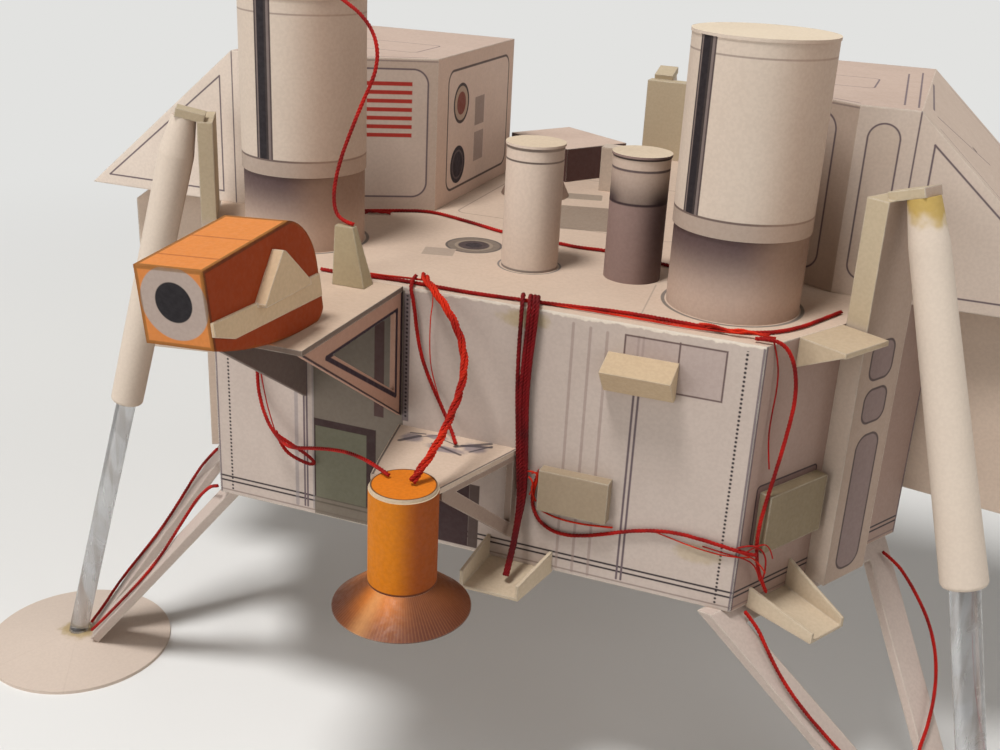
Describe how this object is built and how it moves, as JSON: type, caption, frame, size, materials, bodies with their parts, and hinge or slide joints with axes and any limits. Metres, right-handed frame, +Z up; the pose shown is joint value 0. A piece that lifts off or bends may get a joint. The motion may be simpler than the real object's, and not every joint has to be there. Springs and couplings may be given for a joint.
{
  "type": "planetary lander card model",
  "caption": "Display model of a six-sided planetary lander in glued printed card, on splayed legs with round footpads, with loose red thread cabling.",
  "frame": {"origin": "centre of the model's footprint box without the threads, at the level of the footpads' undersides", "axes": "+X along the long front side, towards the pair of side pieces; -Y is the front, where the orange engine and sampler are; +Z up"},
  "size_m": [0.1554, 0.1592, 0.0972],
  "materials": {
    "printed_card": "matte printed white card",
    "plain_card": "matte beige card",
    "orange_card": "matte orange printed card",
    "grey_card": "matte dark grey printed card",
    "clear_rod": "clear plastic rod",
    "red_thread": "twisted red sewing thread"
  },
  "bodies": {
    "root": {"body": "printed_card", "dark_post": "grey_card", "engine_barrel": "orange_card", "engine_plate": "printed_card", "engine_skirt": "orange_card", "engine_web_left": "printed_card", "engine_web_right": "printed_card", "footpad_left": "printed_card", "footpad_rear": "printed_card", "footpad_right": "printed_card", "front_box": "plain_card", "front_wedge": "plain_card", "leg_post_left": "plain_card", "leg_post_rear": "plain_card", "leg_post_right": "plain_card", "leg_rod_left": "clear_rod", "leg_rod_rear": "clear_rod", "leg_rod_right": "clear_rod", "leg_sleeve_left": "printed_card", "leg_sleeve_rear": "printed_card", "leg_sleeve_right": "printed_card", "leg_strut_a_left": "printed_card", "leg_strut_a_rear": "printed_card", "leg_strut_a_right": "printed_card", "leg_strut_b_left": "printed_card", "leg_strut_b_rear": "printed_card", "leg_strut_b_right": "printed_card", "power_cover_left": "printed_card", "power_cover_right": "printed_card", "rear_cone": "printed_card", "rear_slab": "grey_card", "rear_upright": "printed_card", "sampler": "orange_card", "sampler_gusset_left": "printed_card", "sampler_gusset_right": "printed_card", "sampler_plate": "printed_card", "sampler_strap": "plain_card", "side_box": "plain_card", "side_bracket": "plain_card", "tank_cover_left": "printed_card", "tank_cover_right": "printed_card", "thread_block": "plain_card", "thread_corner": "red_thread", "thread_deck": "red_thread", "thread_deck_edge": "red_thread", "thread_engine": "red_thread", "thread_front_low": "red_thread", "thread_leg_left_a": "red_thread", "thread_leg_left_b": "red_thread", "thread_leg_right_a": "red_thread", "thread_leg_right_b": "red_thread", "thread_plate": "red_thread", "thread_sampler": "red_thread", "thread_turret": "red_thread", "thread_wall": "red_thread", "tray_front": "plain_card", "tray_side": "plain_card", "turret_left": "printed_card", "turret_right": "printed_card", "white_post": "printed_card"}
  },
  "joints": []
}
